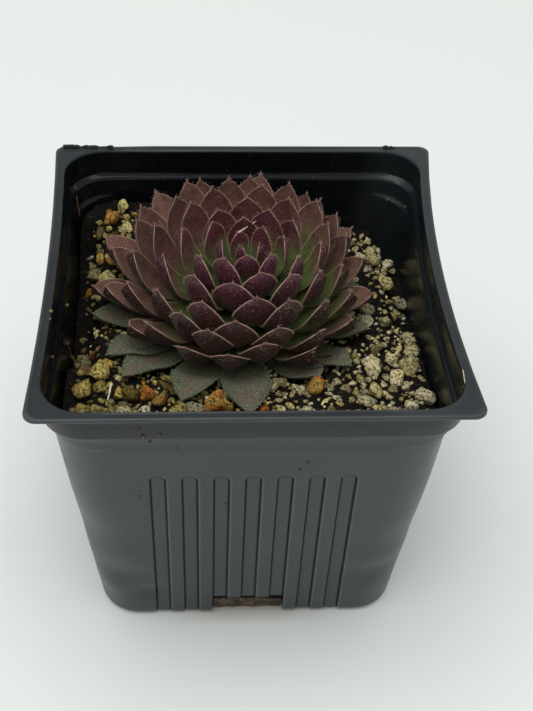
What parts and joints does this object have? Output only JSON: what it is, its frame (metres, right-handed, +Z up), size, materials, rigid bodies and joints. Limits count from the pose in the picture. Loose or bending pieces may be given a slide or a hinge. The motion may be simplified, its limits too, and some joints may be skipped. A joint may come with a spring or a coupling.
{
  "type": "potted houseleek",
  "caption": "Purple rosette succulent with older grey-green leaves under it, growing in gritty soil in a square dark plastic nursery pot with fluted sides.",
  "frame": {"origin": "centre of the pot's outline in plan, on the surface that its foot rests on", "axes": "+Z up, -Y towards the side that faces the camera in the picture, +X towards the picture's right"},
  "size_m": [0.1017, 0.102, 0.0954],
  "materials": {
    "pot": "charcoal vacuum-formed polypropylene sheet, half gloss",
    "soil": "dark damp potting mix with pale pumice and perlite grit, matt",
    "rosette": "living fleshy leaf, maroon with olive bases, waxy satin",
    "basal_leaves": "living fleshy leaf, grey-green and downy, matt"
  },
  "bodies": {
    "root": {"pot": "pot", "soil": "soil", "rosette": "rosette", "basal_leaves": "basal_leaves"}
  },
  "joints": []
}
